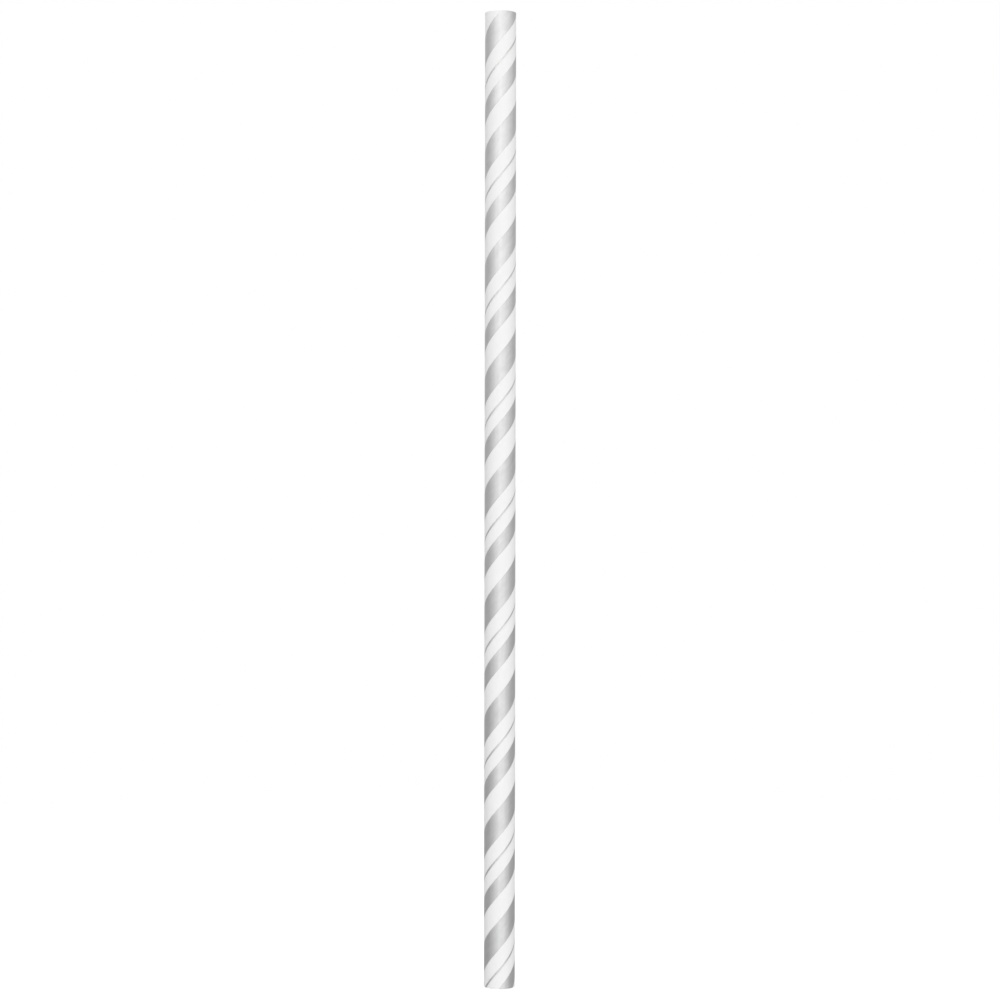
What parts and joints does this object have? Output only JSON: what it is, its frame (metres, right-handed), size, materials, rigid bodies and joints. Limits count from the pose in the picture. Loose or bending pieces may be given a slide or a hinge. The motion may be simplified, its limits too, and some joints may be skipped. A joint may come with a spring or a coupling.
{
  "type": "paper drinking straw",
  "caption": "Straight paper drinking straw, open at both ends, spiral-wound from paper strips, with slanting silver stripes on white.",
  "frame": {"origin": "centre of the straw's lower end, on the plane that it would stand on", "axes": "+Z along the straw's axis, up; -Y is the front, where the wide stripe's upper edge meets the top rim"},
  "size_m": [0.0062, 0.0062, 0.197],
  "materials": {
    "face_paper": "smooth uncoated white paper",
    "core_paper": "plain uncoated paper",
    "paste": "dried water-based paste",
    "silver_foil": "satin silver foil on paper"
  },
  "bodies": {
    "root": {"inner_ply": "core_paper", "paste_film_inner": "paste", "middle_ply": "core_paper", "paste_film_outer": "paste", "outer_ply": "face_paper", "foil_wide_stripe": "silver_foil", "foil_narrow_stripe": "silver_foil", "foil_edge_line": "silver_foil"}
  },
  "joints": []
}
